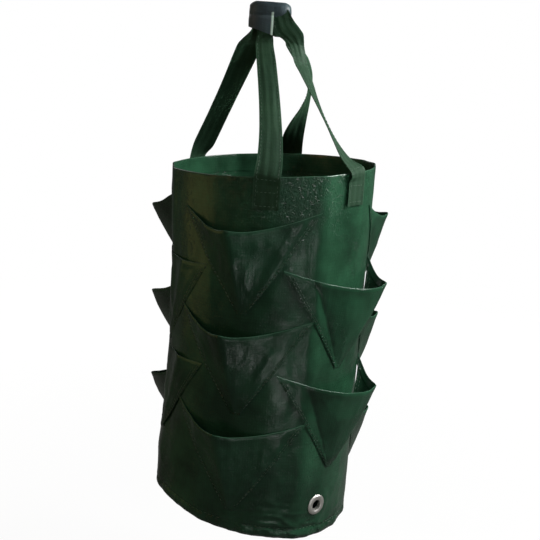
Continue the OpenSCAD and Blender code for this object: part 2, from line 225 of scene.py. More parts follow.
def woven_cloth(name, dark, light, edge, rough, creased=0.35, relief=0.1, index=1.34):
    """Laminated tape cloth with its two greens, its paler edge tone (a painted highlight on
    rolls and folds, the strip's pale cut face) and its gloss.
    """
    material, tree = new_material(name)
    uv = add(tree, "ShaderNodeUVMap", uv_map="weave")
    place = add(tree, "ShaderNodeTexCoord")
    warp, weft = (add(tree, "ShaderNodeTexWave", {"Vector": uv.outputs[0], "Distortion": 0,
                                                  "Scale": WEAVE_SCALE}, bands_direction=way)
                  for way in ("X", "Y"))
    weave = add(tree, "ShaderNodeMath", {0: warp.outputs["Fac"], 1: weft.outputs["Fac"]},
                operation="MULTIPLY")
    drift = add(tree, "ShaderNodeTexNoise", {"Vector": place.outputs["Object"], "Scale": 22,
                                             "Detail": 4, "Roughness": 0.6})
    creases = add(tree, "ShaderNodeTexNoise", {"Vector": place.outputs["Object"],
                                               "Scale": 130, "Detail": 5, "Roughness": 0.7,
                                               "Distortion": 0.6})
    grit = add(tree, "ShaderNodeTexNoise", {"Vector": place.outputs["Object"], "Scale": 300,
                                            "Detail": 4, "Roughness": 0.65, "Distortion": 1})
    tone = add(tree, "ShaderNodeMapRange", {"Value": drift.outputs["Fac"], "From Min": 0.32,
                                            "From Max": 0.68})
    base = add(tree, "ShaderNodeMix", {"Factor": tone.outputs[0], "A": linear(dark),
                                       "B": linear(light)}, data_type="RGBA")
    fleck = add(tree, "ShaderNodeMapRange", {"Value": weave.outputs[0], "To Min": 0.92,
                                             "To Max": 1.06})
    toned = add(tree, "ShaderNodeMix", {"Factor": 1, "A": base.outputs["Result"],
                                        "B": fleck.outputs[0]}, data_type="RGBA",
                blend_type="MULTIPLY")
    # Marked edges are painted paler: a painted highlight along rolls and folds, and the pale
    # cut face at the strip's end.
    rim = add(tree, "ShaderNodeAttribute", attribute_name="edge")
    edge_tone_and_highlight = add(tree, "ShaderNodeMix", {"Factor": rim.outputs["Fac"],
                                       "A": toned.outputs["Result"], "B": linear(edge)},
               data_type="RGBA")
    film = add(tree, "ShaderNodeMapRange", {"Value": creases.outputs["Fac"], "From Min": 0.3,
                                            "From Max": 0.7, "To Min": rough * 0.65,
                                            "To Max": rough * 1.5})
    gathered = add(tree, "ShaderNodeAttribute", attribute_name="gathers")
    folds = add(tree, "ShaderNodeMapRange", {"Value": gathered.outputs["Fac"],
                                             "To Min": creased * 0.4, "To Max": creased * 2})
    coarse = add(tree, "ShaderNodeBump", {"Height": creases.outputs["Fac"],
                                          "Strength": folds.outputs[0], "Distance": 1.6 * MM})
    fine = add(tree, "ShaderNodeBump", {"Height": weave.outputs[0], "Strength": relief,
                                        "Distance": 0.25 * MM, "Normal": coarse.outputs[0]})
    depth = add(tree, "ShaderNodeMapRange", {"Value": gathered.outputs["Fac"], "To Min": 0.1,
                                             "To Max": 1})
    dents = add(tree, "ShaderNodeMapRange", {"Value": grit.outputs["Fac"], "From Min": 0.55,
                                             "From Max": 0.68},
                interpolation_type="SMOOTHSTEP")
    grain = add(tree, "ShaderNodeBump", {"Height": dents.outputs[0],
                                         "Strength": depth.outputs[0],
                                         "Distance": 0.8 * MM, "Normal": fine.outputs[0]})
    shader = add(tree, "ShaderNodeBsdfPrincipled", {
        "Base Color": edge_tone_and_highlight.outputs["Result"], "Roughness": film.outputs[0], "IOR": index,
        "Normal": grain.outputs[0]})
    add(tree, "ShaderNodeOutputMaterial", {"Surface": shader.outputs[0]})
    return material


# The third colour of each cloth is its paler edge tone, a painted highlight, and on the strip
# the pale cut face.
wall_cloth = woven_cloth("laminated_woven_polyethylene", "#162f20", "#254a34", "#2f4f3b",
                         0.18)
pocket_cloth = woven_cloth("laminated_pocket_polyethylene", "#142d1e", "#224631", "#2b4c39",
                           0.18)
strap_cloth = woven_cloth("laminated_polyethylene_strap", "#1b3022", "#263e2c", "#2c4735",
                          0.6, 0.12, 0.1, 1.17)
# The strip's grey-blue colours are its dark tone with the purple-grey sheen of its top painted
# in, in place of the cloth's green.
strip_cloth = woven_cloth("laminated_polyethylene_strip", "#2b353b", "#39494a", "#b4ccc0",
                          0.38, 0.35, 0.2, 1.25)
print("tapes", round(TAPE / MM, 1), "mm wide, scale of the weave", round(WEAVE_SCALE, 1))

# %% [markdown]
# The seams are sewn with a bonded polyester thread in a paler green, which stands a
# little proud of the cloth and has a soft sheen.

# %% Bonded polyester thread
thread, tree = new_material("bonded_polyester_thread")
place = add(tree, "ShaderNodeTexCoord")
plies = add(tree, "ShaderNodeTexNoise", {"Vector": place.outputs["Object"], "Scale": 900,
                                         "Detail": 2})
tone = add(tree, "ShaderNodeMix", {"Factor": plies.outputs["Fac"], "A": linear("#1d3527"),
                                   "B": linear("#38563f")}, data_type="RGBA")
twist = add(tree, "ShaderNodeBump", {"Height": plies.outputs["Fac"], "Strength": 0.4,
                                     "Distance": 0.2 * MM})
shader = add(tree, "ShaderNodeBsdfPrincipled", {"Base Color": tone.outputs["Result"],
                                                "Roughness": 0.45, "IOR": 1.5,
                                                "Normal": twist.outputs[0]})
add(tree, "ShaderNodeOutputMaterial", {"Surface": shader.outputs[0]})
print(thread.name, "has", len(tree.nodes), "nodes")

# %% [markdown]
# The eyelets are brass plated with nickel: bright, slightly warm and satin, with fine
# handling marks, which show more in its roughness than in its colour.

# %% Nickel-plated brass
nickel, tree = new_material("nickel_plated_brass")
place = add(tree, "ShaderNodeTexCoord")
marks = add(tree, "ShaderNodeTexNoise", {"Vector": place.outputs["Object"], "Scale": 300,
                                         "Detail": 3})
dull = add(tree, "ShaderNodeMapRange", {"Value": marks.outputs["Fac"], "To Min": 0.34,
                                        "To Max": 0.56})
shader = add(tree, "ShaderNodeBsdfPrincipled", {"Base Color": linear("#d9d6d0"),
                                                "Metallic": 1, "Roughness": dull.outputs[0]})
add(tree, "ShaderNodeOutputMaterial", {"Surface": shader.outputs[0]})
for node in ("eyelets", "eyelet_washers"):
    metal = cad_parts[node]
    metal.data.materials.clear()
    metal.data.materials.append(nickel)
print("materials", len(bpy.data.materials))

# %% [markdown]
# Everything on the bag is placed by a direction, a radius and a height. Directions are
# angles from the front, positive to the right, heights start at the base seam, and sizes
# are those of the measured model. Real cloth is never that true, so three functions bend
# it. The left side is pressed in a little, the wall shows the corners that it was folded
# flat along before it was filled, and the whole bag hangs with its base tilted and its
# rim a little off level.

# %% Sizes and places round the bag
BAG_R = 100 * MM
WALL_H = 350 * MM
RISE = 121 * MM
AXIS_X = 6 * MM
BASE_Z = -WALL_H - RISE
# Directions of the pressed corners with how far they stand out in mm, and directions of
# the two that show at the rim alone. All are CORNER_WIDTH degrees wide.
CORNERS = ((-70, 1.7), (-32, 1.4), (28, 2.5), (114, 1.7), (204, 1.7))
RIM_CORNERS = (-96, 98)
CORNER_WIDTH = 6
# Heights on the wall with how far it is pressed in there, in mm, about one direction.
DENT_STEPS = ((0, -2.5), (45, -2.5), (72, 0), (95, 4), (135, 5.5), (180, 5.5), (218, 6.5),
              (250, 5), (285, 2), (325, 0), (400, 0))
DENT_AZ = -84
DENT_WIDTH = 30
# How much the base and the rim rise for each metre to the right.
BASE_TILT = -0.13
RIM_TILT = 0.063


def mix(a, b, share):
    return a + (b - a) * share


def turn_between(a, b):
    """The angle from b to a, from -180 to 180."""
    return (a - b + 180) % 360 - 180


def at(az, r, z):
    """A point round the bag's axis, in the part's frame."""
    a = math.radians(az)
    return Vector((AXIS_X + r * math.sin(a), -r * math.cos(a), BASE_Z + z))


def outward(az):
    """The direction away from the bag's axis."""
    return Vector((math.sin(math.radians(az)), -math.cos(math.radians(az)), 0))


def dent(az, z):
    """How far the left side is pressed in. Its foot stands out instead."""
    for (low, a), (high, b) in zip(DENT_STEPS, DENT_STEPS[1:]):
        if z <= high * MM:
            deep = mix(a, b, max(0, (z / MM - low) / (high - low)))
            return deep * MM * math.exp(-(turn_between(az, DENT_AZ) / DENT_WIDTH) ** 2)
    return 0


def wall_r(az, z):
    """Outer radius of the wall, with its pressed corners and a few soft hollows."""
    share = z / WALL_H
    corner = sum(tall * math.exp(-(turn_between(az, c) / CORNER_WIDTH) ** 2)
                 for c, tall in CORNERS)
    pulled = sum(math.exp(-(turn_between(az, c) / CORNER_WIDTH) ** 2) for c in RIM_CORNERS)
    pulled *= max(0, (share - 0.75) / 0.25) ** 2
    wave = noise.noise(Vector((az / 30, share * 3.1, 4.2)))
    return BAG_R + (corner + 2.4 * pulled - 0.9 + 0.8 * wave) * MM - dent(az, z)


def hang(point):
    """Tilts the bag's cloth as it hangs. The tilt dies out up the straps."""
    share = (point.z - BASE_Z) / WALL_H
    fade = max(0, 1 - max(0, share - 1) * WALL_H / (0.9 * RISE))
    tilt = BASE_TILT + (RIM_TILT - BASE_TILT) * max(0, min(1, share))
    return point + Vector((0, 0, tilt * fade * (point.x - AXIS_X)))


def hung_z(az, z):
    """The height that a place on the wall hangs at, over the base seam."""
    return hang(at(az, BAG_R, z)).z - BASE_Z


print("rim at", round((BASE_Z + WALL_H) / MM), "mm, base seam at", round(BASE_Z / MM), "mm")

# %% [markdown]
# A piece of cloth starts as a flat grid. Each of its points is given its place, the grid
# gets its thickness, and then its stitches are sewn in as small spindles. The same few
# steps end every piece: edges that turn sharply are marked, the mesh is made an object,
# and the object rides on the body that carries it, where one is given.

# %% Cloth helpers
SHARP = math.radians(55)


def cloth_grid(columns, rows, place, measure, edge, gathers=lambda u, v: 0):
    """A grid whose points lie at place(u, v), with its weave map, edge tone and gathers."""
    bm = bmesh.new()
    bmesh.ops.create_grid(bm, x_segments=columns, y_segments=rows, size=0.5)
    weave = bm.loops.layers.uv.new("weave")
    tone = bm.verts.layers.float.new("edge")
    pull = bm.verts.layers.float.new("gathers")
    for vert in bm.verts:
        u, v = vert.co.x + 0.5, vert.co.y + 0.5
        vert[tone] = edge(u, v)
        vert[pull] = gathers(u, v)
        metres = measure(u, v)
        for loop in vert.link_loops:
            loop[weave].uv = metres
        vert.co = place(u, v)
    return bm


def thicken(bm, thickness):
    """Gives a sheet its thickness on the side away from its normals."""
    bmesh.ops.solidify(bm, geom=bm.faces[:], thickness=thickness)


def stitch_row(path, length=3 * MM, gap=1.2 * MM, width=0.45 * MM):
    """Places of the stitches along a path of points with the outward normals there."""
    places, along, done = [], length / 2, 0
    for (a, normal_a), (b, normal_b) in zip(path, path[1:]):
        step = (b - a).length
        while step > 1e-9 and along <= done + step:
            share = (along - done) / step
            out, tangent = normal_a.lerp(normal_b, share).normalized(), (b - a).normalized()
            turned = Matrix((tangent, out.cross(tangent).normalized(), out)).transposed()
            size = Matrix.Diagonal((length / 2, width / 2, width / 2, 1))
            places.append(Matrix.Translation(a.lerp(b, share)) @ turned.to_4x4() @ size)
            along += length + gap
        done += step
    return places


def sew(bm, places):
    """Adds a stitch, a small spindle of thread, at each of the places."""
    sewn = bmesh.new()
    for place in places:
        bmesh.ops.create_uvsphere(sewn, u_segments=6, v_segments=4, radius=1, matrix=place)
    for face in sewn.faces:
        face.material_index = 1
    loose = bpy.data.meshes.new("stitches")
    sewn.to_mesh(loose)
    sewn.free()
    bm.from_mesh(loose)
    bpy.data.meshes.remove(loose)


def finish_piece(bm, name, materials, body=None):
    """Makes the mesh an object, smooth but for its sharp edges, and puts it on its body."""
    for face in bm.faces:
        face.smooth = True
    for e in bm.edges:
        if len(e.link_faces) == 2 and e.calc_face_angle(0) > SHARP:
            e.smooth = False
    mesh = bpy.data.meshes.new(name)
    bm.to_mesh(mesh)
    bm.free()
    for m in materials:
        mesh.materials.append(m)
    piece = bpy.data.objects.new(name, mesh)
    bpy.context.scene.collection.objects.link(piece)
    if body:
        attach(piece, body)
    return piece


seam = [(Vector((x, 0, 0)), Vector((0, 0, 1))) for x in (0, 100 * MM)]
print("stitches to 100 mm of seam", len(stitch_row(seam)))

# %% [markdown]
# Woven polyethylene doesn't drape, it crumples: flat facets meet in sharp little ridges.
# Taking one minus the absolute value of a smooth noise gives just such a net of ridges,
# and stretching the noise along the cloth turns the net to where the cloth was folded.

# %% Crumples
def crumple(x, y, seed, stretch=2.2):
    """Height of the cloth's crumples at a place on the flat cloth, about -1 to 1."""
    soft = noise.noise(Vector((x / 0.045, y / (0.045 * stretch), seed)))
    ridge = 1 - abs(noise.noise(Vector((x / 0.02, y / (0.02 * stretch), seed + 7))))
    small = 1 - abs(noise.noise(Vector((x / 0.009, y / 0.013, seed + 13))))
    return 0.8 * soft + 0.9 * (ridge ** 5 - 0.5) + 0.3 * (small ** 3 - 0.5)


for seed in (1, 2):
    print("crumple", [round(crumple(0.01 * k, 0.02, seed), 2) for k in range(5)])

# %% [markdown]
# The side of the bag is one sheet. Its top edge rolls over and lies flat inside as a hem,
# and its foot turns in under the bag in small puckers. Round the eyelets the cloth is
# pressed flat by their flanges. The sheet is a flat grid that is bent round, and planes
# cut the root windows and eyelet holes out of it before it gets its thickness.

# %% Side of the bag
CLOTH_T = 0.8 * MM
HEM = 18 * MM
SEAM_Z = 11.5 * MM
EYELET_Z = 27 * MM
EYELET_AZ = (40, 202)
PITCH = 60
FRONT_AZ = -12
SEAM_AZ = -92
# The pockets' mouths start this far under the rim, and every other column hangs lower by
# the stagger. Three tiers share the height down to the lowest point, with room between.
MOUTH_DROP = 33 * MM
STAGGER = 52 * MM
POINT_Z = 25 * MM
POCKET_ROOM = 5 * MM
TIER = (WALL_H - MOUTH_DROP - POINT_Z + POCKET_ROOM) / 3
POCKET_H = TIER - POCKET_ROOM
# The windows' outline, across and up from its top, in mm.
WINDOW = ((-6, -42), (6, -42), (22, -8), (18, 0), (-18, 0), (-22, -8))
WINDOW_DROP = 30 * MM
HOLE_R = 6.2 * MM


def column_az(column):
    """Direction of the middle of a column of pockets."""
    return FRONT_AZ + PITCH * column


def mouth_z(column, tier):
    """Height of a pocket's mouth at its two corners."""
    return WALL_H - MOUTH_DROP - tier * TIER - (column % 2) * STAGGER


def ring_noise(az, scale, seed):
    """Noise that runs round the bag and meets itself."""
    a = math.radians(az)
    return noise.noise(Vector((math.sin(a) * scale, math.cos(a) * scale, seed)))


def pucker(az, z):
    """The gathers at the base seam, deepest just under it."""
    reach = math.exp(-abs(z - 4 * MM) / (7 * MM)) if z < SEAM_Z + 12 * MM else 0
    under = 1 if z < SEAM_Z else 0.35
    return reach * under * (1.6 * ring_noise(az, 9, 2) + 0.8 * ring_noise(az, 19, 8)) * MM


def wall_face(az, z):
    """Radius of the side's outer face, with its gathers, its crumples and its seam."""
    bent = wall_r(az, z) + pucker(az, z)
    bent += 0.45 * MM * crumple(math.radians(az) * BAG_R, z, 3.1) * min(1, z / (20 * MM))
    front = math.exp(-(turn_between(az, 22) / 38) ** 2)
    bent += 1.8 * MM * front * math.exp(-((z - 12 * MM) / (20 * MM)) ** 2) * crumple(
        math.radians(az) * BAG_R, z, 41.2, 0.4)
    bent -= 0.8 * MM * math.exp(-((z - SEAM_Z) / (1.2 * MM)) ** 2)
    return bent - 3 * MM * max(0, 1 - z / (6 * MM)) ** 2


def wall_point(az, z, off):
    """A point of the side's cloth, off its outer face by that much."""
    bent = wall_face(az, z) + off
    for eyelet in EYELET_AZ:
        turn = math.radians(turn_between(az, eyelet))
        across, depth = bent * math.sin(turn), bent * math.cos(turn)
        if depth > 0:
            away = math.hypot(across, hung_z(az, z) - EYELET_Z)
            press = 1 - min(1, max(0, (away - 11 * MM) / (9 * MM)))
            press = press * press * (3 - 2 * press)
            flat = (BAG_R - 0.25 * MM + off) / math.cos(turn)
            bent += press * (flat - bent)
    return hang(at(az, bent, z))


def cut_out(bm, az, outline):
    """Cuts a convex outline, given across and up, out of the side at that direction."""
    out, across = outward(az), outward(az + 90)
    centre = Vector((AXIS_X, 0, BASE_Z))
    points = [centre + out * BAG_R + across * x + Vector((0, 0, z)) for x, z in outline]
    middle = sum(points, Vector()) / len(points)
    reach = max((p - middle).length for p in points) + 6 * MM
    planes = [(p, (q - p).cross(out).normalized())
              for p, q in zip(points, points[1:] + points[:1])]
    faces = [f for f in bm.faces if (f.calc_center_median() - middle).length < reach]
    near = faces + list(dict.fromkeys(e for f in faces for e in f.edges))
    near += dict.fromkeys(v for f in faces for v in f.verts)
    for place, normal in planes:
        near = bmesh.ops.bisect_plane(bm, geom=[g for g in near if g.is_valid], dist=1e-7,
                                      plane_co=place, plane_no=normal)["geom"]
    inside = [f for f in near if isinstance(f, bmesh.types.BMFace)
              and all((f.calc_center_median() - p).dot(n) < 0 for p, n in planes)]
    bmesh.ops.delete(bm, geom=inside, context="FACES")
    return len(inside)


# The sheet's section from the base seam up, over the rim and down the hem inside, as
# distances off the outer face with their heights. Its rows lie closer at the foot.
ROLL = 0.825 * MM
CLOSE_TO = 50 * MM
profile = [(0, SEAM_Z * k / 8) for k in range(8)]
profile += [(0, mix(SEAM_Z, CLOSE_TO, k / 26)) for k in range(26)]
profile += [(0, mix(CLOSE_TO, WALL_H - ROLL, k / 74)) for k in range(75)]
profile += [(ROLL * (math.cos(a) - 1), WALL_H - ROLL + ROLL * math.sin(a))
            for a in (math.radians(turn) for turn in (36, 72, 108, 144, 180))]
profile += [(-2 * ROLL, WALL_H - ROLL - HEM * k / 5) for k in range(1, 6)]
rows = len(profile) - 1
PULLED_AZ = (-14, 4, 17, 172)


def side_place(u, v):
    off, z = profile[round(v * rows)]
    return wall_point(360 * u + SEAM_AZ, z, off)


def rolled_rim_highlight(u, v):
    """A painted highlight: paler along the top of the rolled rim."""
    return 0.8 if profile[round(v * rows)][1] > WALL_H - 0.9 * ROLL else 0


def side_gathers(u, v):
    """Most crumpled at the foot and near the rim, and there most where it is pulled."""
    off, z = profile[round(v * rows)]
    az = 360 * u + SEAM_AZ
    rim = math.exp(-((z - WALL_H) / (38 * MM)) ** 2)
    near = sum(math.exp(-(turn_between(az, a) / 13) ** 2) for a in PULLED_AZ)
    seam = math.exp(-((z - 4 * MM) / (9 * MM)) ** 2)
    patch = 0.5 + 0.9 * noise.noise(Vector((az / 14, z / (30 * MM), 5.5)))
    inside = 0.2 if off < 0 else 1
    return inside * max(0, min(1, rim * (0.1 + near) + 0.8 * seam + 0.35 * patch - 0.1))


bm = cloth_grid(288, rows, side_place,
                lambda u, v: (2 * math.pi * BAG_R * u, 0.375 * v), rolled_rim_highlight, side_gathers)
bmesh.ops.remove_doubles(bm, verts=bm.verts[:], dist=1e-6)
for column in range(6):
    for tier in range(3 - column % 2):
        top = mouth_z(column, tier) - WINDOW_DROP
        cut_out(bm, column_az(column), [(x * MM, top + z * MM) for x, z in WINDOW])
hole = [(HOLE_R * math.cos(a), EYELET_Z + HOLE_R * math.sin(a))
        for a in (math.radians(turn) for turn in range(0, 360, 30))]
for az in EYELET_AZ:
    cut_out(bm, az, hole)
thicken(bm, CLOTH_T)
base_seam = [(wall_point(az, SEAM_Z, 0.2 * MM), outward(az)) for az in range(0, 362, 2)]
sew(bm, stitch_row(base_seam, gap=1.6 * MM))
bag_cloth = finish_piece(bm, "bag_cloth", (wall_cloth, thread), "bag")
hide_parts("bag_wall", "eyelet_panels", "rim_hem")

# %% [markdown]
# A narrow tape of the same cloth backs the side seam inside, and the base is a round
# panel that sags towards its middle. Its edge is turned up inside the foot of the side,
# and it puckers there as the side does.

# %% Side seam and base
SEAM_W = 12 * MM
BASE_SAG = 11 * MM
BASE_SHEET_R = 110 * MM
TURN_FROM = 0.88


def seam_place(u, v):
    """The tape from 22 mm over the base seam to just under the hem."""
    az = SEAM_AZ + (u - 0.5) * math.degrees(SEAM_W / BAG_R)
    return wall_point(az, (22 + 306 * v) * MM, -CLOTH_T - 0.25 * MM)


bm = cloth_grid(6, 60, seam_place, lambda u, v: (0.012 * u, 0.306 * v), lambda u, v: 0)
thicken(bm, 0.7 * MM)
seam_tape = finish_piece(bm, "seam_tape", (wall_cloth,), "bag")
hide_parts("side_seam")


def base_place(u, v):
    """Over the sagging base, and from TURN_FROM up its turned edge inside the side."""
    az = 360 * u
    if v > TURN_FROM:
        up = (v - TURN_FROM) / (1 - TURN_FROM)
        return wall_point(az, 10 * MM * up, -CLOTH_T - 0.3 * MM)
    edge = wall_point(az, 0, -CLOTH_T - 0.3 * MM)
    middle = hang(at(0, 0, -BASE_SAG))
    share = v / TURN_FROM
    spot = middle.lerp(edge, share)
    round_z = -BASE_SAG * (1 - share ** 2) - 3.2 * MM * math.sin(math.pi * share ** 6)
    fold = 1.6 * MM * ring_noise(az, 9, 2) * share ** 5 * (1 - share ** 14)
    spot.z = hang(Vector((spot.x, spot.y, BASE_Z + round_z + fold))).z
    return spot


def base_measure(u, v):
    """The place on the flat disc."""
    turn = 2 * math.pi * u
    return BASE_SHEET_R * v * math.cos(turn), BASE_SHEET_R * v * math.sin(turn)


bm = cloth_grid(180, 34, base_place, base_measure, lambda u, v: 0)
bmesh.ops.remove_doubles(bm, verts=bm.verts[:], dist=1e-5)
bmesh.ops.recalc_face_normals(bm, faces=bm.faces[:])
if sum(f.normal.z * f.calc_area() for f in bm.faces) > 0:
    bmesh.ops.reverse_faces(bm, faces=bm.faces[:])
thicken(bm, CLOTH_T)
base_cloth = finish_piece(bm, "base_cloth", (wall_cloth,), "bag")
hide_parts("base_panel")
print("base", len(base_cloth.data.polygons), "faces")

# %% [markdown]
# A pocket is one sheet cut to a V, with its two sides sewn down on the wall. It is wider
# than the wall behind it, so its mouth stands off in a beak. The lip leaves the wall at a
# tangent, runs straight to the fold and back, and droops towards the fold. The sheet is
# again a flat grid, placed by the same rule as the measured model, with the fold rounded
# and the crumples growing from the seams to the middle. Its lip is turned in as a hem.

# %% Pockets
HALF_SPAN = 39
BEAK_REACH = 23 * MM
BEAK_DROP = 21 * MM
# For each column, where its lip folds, in degrees from its middle, and its shares of the
# full reach and drop.
BEAKS = ((-8, 0.75, 0.8), (24, 1, 1), (-7, 0.95, 0.85), (12, 0.8, 0.8), (24, 1, 0.95),
         (20, 0.12, 0.12))
# For each column, how far its lip bulges left of the fold, and the power by which its
# pockets stand off from their points up to their lips.
BULGES = (0, 1, 0, 0.3, 0, 0)
FULLNESS = (1.1, 1.1, 1, 1.1, 0.3, 1.1)
# The pockets whose reach is greater than the common one, by column and tier.
PROUD = {(4, 0): 1.42, (4, 1): 1.4, (4, 2): 1.22}
COMMON_PROUD = 1.03
# This column's lips fall in a straight line, and the next one's lie close to the wall.
STRAIGHT_COLUMN = 4
CLOSE_COLUMN = 5
# Width of a pocket at its point as a share of its mouth's, and its sheet's flat size.
POINT_SHARE = 0.06
SHEET_W = 145 * MM
SHEET_H = 120 * MM
# The rows of the sheet's grid at which the lip's roll starts and ends and the hem ends,
# and the share of the pocket's height that the hem covers.
LIP_START, LIP_END, HEM_END = 26, 30, 36
HEM_SHARE = 0.075
POCKET_NAMES = (("front_pocket", ("top", "middle", "low")),
                ("right_front_pocket", ("upper", "lower")),
                ("right_back_pocket", ("top", "middle", "low")),
                ("back_pocket", ("upper", "lower")),
                ("left_back_pocket", ("top", "middle", "low")),
                ("left_front_pocket", ("upper", "lower")))


def lip_r(az, fold, reach):
    """Radius of the lip: straight to the fold from the tangent or the corner."""
    base = BAG_R
    tangent = math.degrees(math.acos(base / (base + reach)))
    near = max(-HALF_SPAN, fold - tangent) if az < fold else min(HALF_SPAN, fold + tangent)
    if (az - near) * (fold - near) <= 0:
        return base
    a, b, c = (math.radians(t) for t in (fold - near, az - near, fold - az))
    return base * (base + reach) * math.sin(a) / (base * math.sin(b)
                                                  + (base + reach) * math.sin(c))


def flare(az, fold, reach, bulge):
    """How far the lip stands off the wall, with the fold rounded and the long side bulged."""
    near = [lip_r(max(-HALF_SPAN, min(HALF_SPAN, az + d)), fold, reach) - BAG_R
            for d in (-1.6, -0.8, 0, 0.8, 1.6)]
    straight = sum(near) / 5
    if bulge and az < fold:
        full = reach * max(0, 1 - (fold - az) / 46) ** 0.8
        straight = max(straight, mix(straight, full, bulge))
    return straight * min(1, (HALF_SPAN - abs(az)) / 2)


def pocket_place(column, tier, az, up, off, seed):
    """A point of a pocket's outer face at rest."""
    fold, reach, drop = BEAKS[column]
    reach = BEAK_REACH * reach * PROUD.get((column, tier), COMMON_PROUD)
    drop *= BEAK_DROP
    spread = mix(POINT_SHARE, 1, up)
    side = -1 if az < fold else 1
    share = min(1, (HALF_SPAN - side * az) / (HALF_SPAN - side * fold))
    fall = drop * (share if column == STRAIGHT_COLUMN else math.sin(math.pi / 2 * share))
    fall -= 0.12 * drop * math.exp(-((az - fold) / 4) ** 2)
    z = mouth_z(column, tier) - POCKET_H + up * (POCKET_H - fall)
    true_az = column_az(column) + az * spread
    loose = min(1, (HALF_SPAN - abs(az)) / 9) * min(1, up / 0.12)
    height = 0.7 * MM * loose * crumple(math.radians(az * spread) * BAG_R, z, seed, 1.4)
    belly = 2.2 * MM * loose * math.sin(math.pi * min(1, up * 1.1)) * (1 - abs(az) / HALF_SPAN)
    stand = flare(az, fold, reach, BULGES[column]) * up ** FULLNESS[column]
    proud = max(0, belly + height + stand)
    ground = wall_face(true_az, z) + CLOTH_T + 0.1 * MM
    taut = max(ground, mix(ground, BAG_R - dent(true_az, z) + CLOTH_T, 0.6 * loose))
    return hang(at(true_az, taut + proud + off, z))


pocket_count = 0
for column, (side, tiers) in enumerate(POCKET_NAMES):
    for tier, level in enumerate(tiers):
        seed = 20.3 + 5.1 * pocket_count
        roll = (0.25 if column == CLOSE_COLUMN else 0.6) * MM

        def lip_place(u, v):
            """Up the sheet, over the lip's roll and down its hem inside."""
            row = round(v * HEM_END)
            az = (2 * u - 1) * HALF_SPAN
            if row <= LIP_START:
                return pocket_place(column, tier, az, row / LIP_START, 0, seed)
            if row <= LIP_END:
                turn = math.pi * (row - LIP_START) / (LIP_END - LIP_START)
                off = roll * (math.cos(turn) - 1)
                lift = Vector((0, 0, roll * math.sin(turn)))
                return lift + pocket_place(column, tier, az, 1, off, seed)
            down = (row - LIP_END) / (HEM_END - LIP_END) * HEM_SHARE
            return pocket_place(column, tier, az, 1 - down, -2 * roll, seed)

        def lip_roll_highlight(u, v):
            """A painted highlight: paler along the lip's roll, but for the column that lies
            close.
            """
            rolled = LIP_START + 0.5 < v * HEM_END < LIP_END - 0.5
            return 1 if rolled and column != CLOSE_COLUMN else 0

        def sheet_measure(u, v):
            """The place on the flat sheet, which narrows to its point."""
            wide = mix(POINT_SHARE, 1, min(1, v * HEM_END / LIP_START))
            return SHEET_W * (u - 0.5) * wide, SHEET_H * v

        def seam_gathers(u, v):
            """The seams pull the cloth into small gathers, and some spots crumple."""
            seam = min(u, 1 - u) * SHEET_W * min(1, POINT_SHARE + v * 1.3)
            patch = noise.noise(Vector((u * 5, v * 5, seed)))
            return max(0, min(1, 0.9 * math.exp(-(seam / (6 * MM)) ** 2) + 0.5 * patch))

        bm = cloth_grid(64, HEM_END, lip_place, sheet_measure, lip_roll_highlight, seam_gathers)
        thicken(bm, CLOTH_T)
        places = []
        for az in [sign * (HALF_SPAN - math.degrees(inset * MM / BAG_R))
                   for inset in (3, 7) for sign in (-1, 1)]:
            out = outward(column_az(column) + az)
            path = [(pocket_place(column, tier, az, up / 30, 0.15 * MM, seed), out)
                    for up in range(2, 30)]
            places += stitch_row(path, width=0.5 * MM)
        sew(bm, places)
        name = side + "_" + level
        piece = finish_piece(bm, name + "_cloth", (pocket_cloth, thread))
        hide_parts(name)
        out = outward(column_az(column) + BEAKS[column][0])
        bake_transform(piece)
        pocket_count += 1
print("pockets", pocket_count)

# %% [markdown]
# Each handle is a strap of the same cloth, folded over lengthwise and sewn, so it shows
# ridges along its length. Its ends are lapped on the outside of the wall and sewn in a
# box. On the way up the runs turn edge on, and at the top they narrow and gather. Each
# run is told by a few numbers, so that one rule places all four.

# %% Handle straps
STRAP_W = 24 * MM
STRAP_T = 1.2 * MM
LAP_H = 28 * MM
LEG_TOP = 111.7 * MM
STRAP_Y = 2.6 * MM
STRAP_L = 165 * MM
# Three ridges across the width, in radians.
RIDGES = 18.85
# Direction of the lap, how far the run bows to the right in mm, the turns of its width
# half way and at the top, its left and right edge under the crown in mm, and the shares
# of its way up at which it bows and turns most.
Run = namedtuple("Run", "lap_az bow mid_turn top_turn left right bow_at turn_at")


def front_sign(run):
    """One for a run at the front of the bag, and minus one for a run behind."""
    return 1 if abs(run.lap_az) < 90 else -1


def most_at(share, peak):
    """A share warped so that its peak comes at the half."""
    return max(0, share) ** (math.log(0.5) / math.log(peak))


def leg_middle(run, up):
    """Middle line of a strap, from -1 at the foot of its lap to 1 under the crown."""
    z = up * LAP_H if up < 0 else mix(1.5 * MM, LEG_TOP, up)
    lap = wall_point(run.lap_az, WALL_H + min(z, -2 * MM), 0.9 * MM)
    top = Vector(((run.left + run.right) / 2 * MM, -STRAP_Y * front_sign(run), 0))
    spot = lap.lerp(top, max(0, up))
    spot.x += run.bow * MM * math.sin(math.pi * most_at(up, run.bow_at))
    spot.z = hang(Vector((spot.x, spot.y, BASE_Z + WALL_H + z))).z
    return spot


def leg_edges(run, up):
    """Left and right edge of a strap there. Its width turns on the way up."""
    start = run.lap_az
    if front_sign(run) < 0:
        start -= math.copysign(180, start)
    share = most_at(up, run.turn_at)
    wave = math.sin(math.pi * share)
    turn = math.radians(mix(start, run.mid_turn, wave) if share < 0.5
                        else mix(run.mid_turn, run.top_turn, 1 - wave))
    along = (leg_middle(run, up + 0.02) - leg_middle(run, up - 0.02)).normalized()
    across = Vector((math.cos(turn), math.sin(turn), 0))
    across = (across - across.dot(along) * along).normalized()
    slack = 1 - 0.1 * math.sin(math.pi * max(0, up))
    half = slack * mix(STRAP_W, (run.right - run.left) * MM, max(0, up) ** 2) / 2
    return leg_middle(run, up) - across * half, leg_middle(run, up) + across * half


